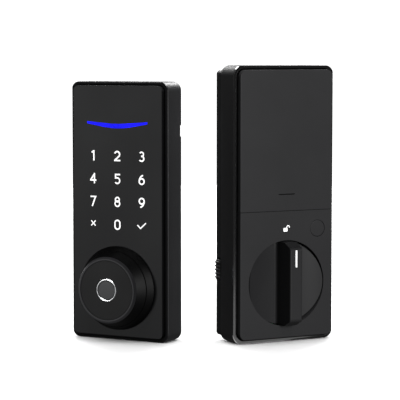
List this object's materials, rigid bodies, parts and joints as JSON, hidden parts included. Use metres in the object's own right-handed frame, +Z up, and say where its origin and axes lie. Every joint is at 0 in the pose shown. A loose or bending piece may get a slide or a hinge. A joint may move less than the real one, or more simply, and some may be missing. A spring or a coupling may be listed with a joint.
{
  "type": "keypad smart lock",
  "caption": "Door lock in two tall units: an outside unit with keypad and fingerprint knob, and an inside unit with thumbturn, set button and battery bay behind a sliding cover.",
  "frame": {"origin": "centre of the footprint of both units at rest, on the surface that they stand on", "axes": "+Z up, -Y towards the viewer with both fronts turned 27.5 degrees apart, +X towards the interior unit"},
  "size_m": [0.162, 0.0802, 0.17],
  "materials": {
    "matt_dark_abs": "matt moulded ABS, dark grey",
    "shell_abs": "fine-textured moulded ABS, charcoal",
    "base_abs": "fine-textured moulded ABS, near black",
    "touch_panel": "matt coated touch panel, dark grey",
    "knob_metal": "satin powder-coated zinc, dark grey",
    "knob_face_abs": "matt moulded ABS, charcoal",
    "polished_steel": "polished steel",
    "sensor_glass": "satin coated sensor window, grey",
    "light_guide": "lit blue acrylic",
    "symbol_ink": "lit white symbols",
    "zinc_steel": "zinc-plated steel",
    "bush_brass": "sintered bronze",
    "circuit_board": "green solder mask on glass fibre",
    "connector_nylon": "natural nylon",
    "gear_acetal": "white acetal",
    "black_rubber": "closed-cell foam rubber",
    "cell_jacket": "printed shrink jacket",
    "nickel": "nickel-plated spring steel",
    "led_white": "white lamp package"
  },
  "bodies": {
    "exterior_unit": {"exterior_housing": "shell_abs", "front_panel": "touch_panel", "keypad_legends": "symbol_ink", "status_light": "light_guide", "keypad_board": "circuit_board", "key_leds": "led_white", "knob_bush": "bush_brass", "clutch_actuator": "base_abs", "tail_bush": "bush_brass", "exterior_back_plate": "zinc_steel", "exterior_gasket": "black_rubber", "back_plate_screws": "zinc_steel", "mounting_posts": "zinc_steel", "exterior_cable_socket": "connector_nylon"},
    "knob": {"knob_body": "knob_metal", "knob_face": "knob_face_abs", "fingerprint_ring": "polished_steel", "fingerprint_sensor": "sensor_glass", "sensor_board": "circuit_board", "knob_spindle": "zinc_steel", "retaining_clip": "zinc_steel"},
    "clutch_fork": {"clutch_fork": "zinc_steel"},
    "tail_drive": {"tail_hub": "zinc_steel", "tailpiece": "zinc_steel"},
    "clutch_sleeve": {"clutch_sleeve": "bush_brass"},
    "interior_unit": {"mounting_plate": "zinc_steel", "inner_base": "base_abs", "inner_shell": "shell_abs", "trim_frame": "shell_abs", "lower_panel": "matt_dark_abs", "battery_tray": "base_abs", "batteries": "cell_jacket", "battery_contacts": "nickel", "battery_springs": "nickel", "hub_bush": "bush_brass", "idler_axle": "zinc_steel", "drive_motor": "zinc_steel", "gearbox_case": "base_abs", "gearbox_cover": "base_abs", "control_board": "circuit_board", "button_switch": "base_abs", "padlock_symbol": "symbol_ink", "buzzer": "base_abs", "case_screws": "zinc_steel", "inner_cable_socket": "connector_nylon"},
    "thumbturn": {"thumbturn": "matt_dark_abs", "thumbturn_marker": "symbol_ink", "drive_hub": "zinc_steel", "main_gear": "gear_acetal"},
    "idler": {"idler_gear": "gear_acetal"},
    "pinion": {"motor_pinion": "bush_brass"},
    "battery_cover": {"battery_cover": "matt_dark_abs"},
    "set_button": {"set_button": "matt_dark_abs"},
    "release_slider": {"release_slider": "base_abs"}
  },
  "joints": [
    {"name": "knob_turn", "type": "hinge", "parent": "exterior_unit", "child": "knob", "pos_m": [-0.05231, -0.01882, 0.0327], "axis": [-0.4617, -0.887, 0], "range_deg": [-90, 90]},
    {"name": "tail_turn", "type": "hinge", "parent": "exterior_unit", "child": "tail_drive", "pos_m": [-0.04266, -0.00028, 0.0327], "axis": [-0.4617, -0.887, 0], "range_deg": [-90, 90]},
    {"name": "clutch_slide", "type": "slide", "parent": "exterior_unit", "child": "clutch_fork", "axis": [-0.4617, -0.887, 0], "range_m": [0, 0.0014]},
    {"name": "sleeve_slide", "type": "slide", "parent": "tail_drive", "child": "clutch_sleeve", "axis": [-0.4617, -0.887, 0], "range_m": [0, 0.0014]},
    {"name": "units_apart", "type": "slide", "parent": "exterior_unit", "child": "interior_unit", "axis": [1, 0, 0], "range_m": [0, 0.15]},
    {"name": "thumbturn_turn", "type": "hinge", "parent": "interior_unit", "child": "thumbturn", "pos_m": [0.0518, -0.02458, 0.0364], "axis": [0.4617, -0.887, 0], "range_deg": [-90, 90]},
    {"name": "idler_turn", "type": "hinge", "parent": "interior_unit", "child": "idler", "pos_m": [0.04544, -0.01053, 0.05878], "axis": [0.4617, -0.887, 0], "range_deg": [-331, 331]},
    {"name": "pinion_turn", "type": "hinge", "parent": "interior_unit", "child": "pinion", "pos_m": [0.0305, -0.01831, 0.068], "axis": [0.4617, -0.887, 0], "range_deg": [-991, 991]},
    {"name": "cover_slide", "type": "slide", "parent": "interior_unit", "child": "battery_cover", "axis": [0, 0, 1], "range_m": [0, 0.065]},
    {"name": "button_press", "type": "slide", "parent": "interior_unit", "child": "set_button", "axis": [-0.4617, 0.887, 0], "range_m": [0, 0.0006], "stiffness_N_per_m": 2000},
    {"name": "slider_slide", "type": "slide", "parent": "interior_unit", "child": "release_slider", "axis": [0, 0, 1], "range_m": [0, 0.004], "stiffness_N_per_m": 150}
  ],
  "couplings": [
    {"joint": "sleeve_slide", "follows": "clutch_slide", "ratio": 1},
    {"joint": "idler_turn", "follows": "thumbturn_turn", "ratio": -3.6667},
    {"joint": "pinion_turn", "follows": "thumbturn_turn", "ratio": 11}
  ]
}
